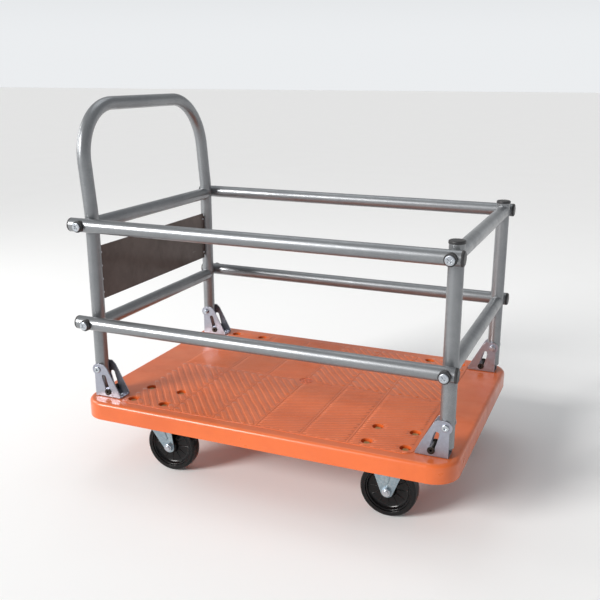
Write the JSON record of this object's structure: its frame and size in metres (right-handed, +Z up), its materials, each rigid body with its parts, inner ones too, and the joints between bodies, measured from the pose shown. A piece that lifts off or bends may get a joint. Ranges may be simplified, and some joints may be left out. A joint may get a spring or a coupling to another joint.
{
  "type": "folding platform cart",
  "caption": "Flat moulded deck on swivel and fixed casters, with a hinged U-shaped push handle, a front gate and side rails that fold down over the deck.",
  "frame": {"origin": "on the floor under the middle of the cart's overall box", "axes": "+X from the push handle towards the front gate, +Y to the left of the person pushing, +Z up"},
  "size_m": [0.922, 0.6572, 0.893],
  "materials": {
    "deck_plastic": "glossy moulded orange",
    "badge_plastic": "glossy moulded orange",
    "silver_paint": "silver-grey metallic paint",
    "plate_paint": "satin grey paint",
    "bracket_steel": "zinc plated pressed steel",
    "fork_zinc": "bluish zinc plating",
    "bright_zinc": "bright zinc plating",
    "yellow_zinc": "yellow zinc plating",
    "pin_steel": "blackened steel",
    "ball_steel": "plain steel",
    "black_plastic": "satin black",
    "wheel_plastic": "glossy black",
    "tyre_rubber": "black rubber, polished tread"
  },
  "bodies": {
    "platform": {"deck": "deck_plastic", "deck_badge": "badge_plastic", "caster_bolts": "yellow_zinc", "caster_nuts": "bright_zinc", "rear_left_bracket": "bracket_steel", "rear_right_bracket": "bracket_steel", "front_left_bracket": "bracket_steel", "front_right_bracket": "bracket_steel", "bracket_screws": "bright_zinc", "hinge_bolts": "bright_zinc", "hinge_nuts": "bright_zinc", "gate_stop_pins": "pin_steel", "kingpins": "bright_zinc", "swivel_balls": "ball_steel", "front_axles": "bright_zinc", "left_swivel_plate": "fork_zinc", "right_swivel_plate": "fork_zinc", "left_fixed_fork": "fork_zinc", "right_fixed_fork": "fork_zinc"},
    "left_lock": {"left_lock_pin": "pin_steel"},
    "right_lock": {"right_lock_pin": "pin_steel"},
    "left_swivel": {"left_swivel_fork": "fork_zinc", "left_rear_axle": "bright_zinc"},
    "right_swivel": {"right_swivel_fork": "fork_zinc", "right_rear_axle": "bright_zinc"},
    "rear_left_wheel": {"rear_left_tyre": "tyre_rubber", "rear_left_wheel_core": "wheel_plastic", "rear_left_bearing": "ball_steel"},
    "rear_right_wheel": {"rear_right_tyre": "tyre_rubber", "rear_right_wheel_core": "wheel_plastic", "rear_right_bearing": "ball_steel"},
    "front_left_wheel": {"front_left_tyre": "tyre_rubber", "front_left_wheel_core": "wheel_plastic", "front_left_bearing": "ball_steel"},
    "front_right_wheel": {"front_right_tyre": "tyre_rubber", "front_right_wheel_core": "wheel_plastic", "front_right_bearing": "ball_steel"},
    "handle": {"handle_tube": "silver_paint", "handle_bars": "silver_paint", "handle_plate": "plate_paint", "plate_rivets": "bright_zinc", "handle_bushes": "ball_steel", "handle_inserts": "bright_zinc", "rear_rail_bolts": "bright_zinc"},
    "gate": {"gate_left_post": "silver_paint", "gate_right_post": "silver_paint", "gate_bars": "silver_paint", "gate_caps": "black_plastic", "gate_bushes": "ball_steel", "gate_inserts": "bright_zinc", "front_rail_bolts": "bright_zinc"},
    "left_lower_side_rail": {"left_lower_rail": "silver_paint", "left_lower_rail_fittings": "black_plastic"},
    "left_upper_side_rail": {"left_upper_rail": "silver_paint", "left_upper_rail_fittings": "black_plastic"},
    "right_lower_side_rail": {"right_lower_rail": "silver_paint", "right_lower_rail_fittings": "black_plastic"},
    "right_upper_side_rail": {"right_upper_rail": "silver_paint", "right_upper_rail_fittings": "black_plastic"}
  },
  "joints": [
    {"name": "handle_fold", "type": "hinge", "parent": "platform", "child": "handle", "pos_m": [-0.425, 0, 0.253], "axis": [0, 1, 0], "range_deg": [0, 74]},
    {"name": "gate_fold", "type": "hinge", "parent": "platform", "child": "gate", "pos_m": [0.429, 0, 0.253], "axis": [0, 1, 0], "range_deg": [0, 74]},
    {"name": "left_lower_rail_pivot", "type": "hinge", "parent": "handle", "child": "left_lower_side_rail", "pos_m": [-0.425, 0.3008, 0.375], "axis": [0, 1, 0], "range_deg": [-74, 0]},
    {"name": "left_upper_rail_pivot", "type": "hinge", "parent": "handle", "child": "left_upper_side_rail", "pos_m": [-0.425, 0.3008, 0.61], "axis": [0, 1, 0], "range_deg": [-74, 0]},
    {"name": "right_lower_rail_pivot", "type": "hinge", "parent": "handle", "child": "right_lower_side_rail", "pos_m": [-0.425, -0.3008, 0.375], "axis": [0, 1, 0], "range_deg": [-74, 0]},
    {"name": "right_upper_rail_pivot", "type": "hinge", "parent": "handle", "child": "right_upper_side_rail", "pos_m": [-0.425, -0.3008, 0.61], "axis": [0, 1, 0], "range_deg": [-74, 0]},
    {"name": "left_lock_slide", "type": "slide", "parent": "platform", "child": "left_lock", "axis": [-0.2609, 0, 0.9654], "range_m": [0, 0.016], "stiffness_N_per_m": 900, "springref_m": -0.01},
    {"name": "right_lock_slide", "type": "slide", "parent": "platform", "child": "right_lock", "axis": [-0.2609, 0, 0.9654], "range_m": [0, 0.016], "stiffness_N_per_m": 900, "springref_m": -0.01},
    {"name": "left_caster_swivel", "type": "hinge", "parent": "platform", "child": "left_swivel", "pos_m": [-0.293, 0.231, 0.153], "axis": [0, 0, 1], "continuous": true},
    {"name": "right_caster_swivel", "type": "hinge", "parent": "platform", "child": "right_swivel", "pos_m": [-0.293, -0.231, 0.153], "axis": [0, 0, 1], "continuous": true},
    {"name": "rear_left_wheel_spin", "type": "hinge", "parent": "left_swivel", "child": "rear_left_wheel", "pos_m": [-0.253, 0.231, 0.065], "axis": [0, 1, 0], "continuous": true},
    {"name": "front_left_wheel_spin", "type": "hinge", "parent": "platform", "child": "front_left_wheel", "pos_m": [0.301, 0.231, 0.065], "axis": [0, 1, 0], "continuous": true},
    {"name": "rear_right_wheel_spin", "type": "hinge", "parent": "right_swivel", "child": "rear_right_wheel", "pos_m": [-0.253, -0.231, 0.065], "axis": [0, 1, 0], "continuous": true},
    {"name": "front_right_wheel_spin", "type": "hinge", "parent": "platform", "child": "front_right_wheel", "pos_m": [0.301, -0.231, 0.065], "axis": [0, 1, 0], "continuous": true}
  ],
  "couplings": [
    {"joint": "gate_fold", "follows": "handle_fold", "ratio": 1},
    {"joint": "left_lower_rail_pivot", "follows": "handle_fold", "ratio": -1},
    {"joint": "left_upper_rail_pivot", "follows": "handle_fold", "ratio": -1},
    {"joint": "right_lower_rail_pivot", "follows": "handle_fold", "ratio": -1},
    {"joint": "right_upper_rail_pivot", "follows": "handle_fold", "ratio": -1}
  ]
}
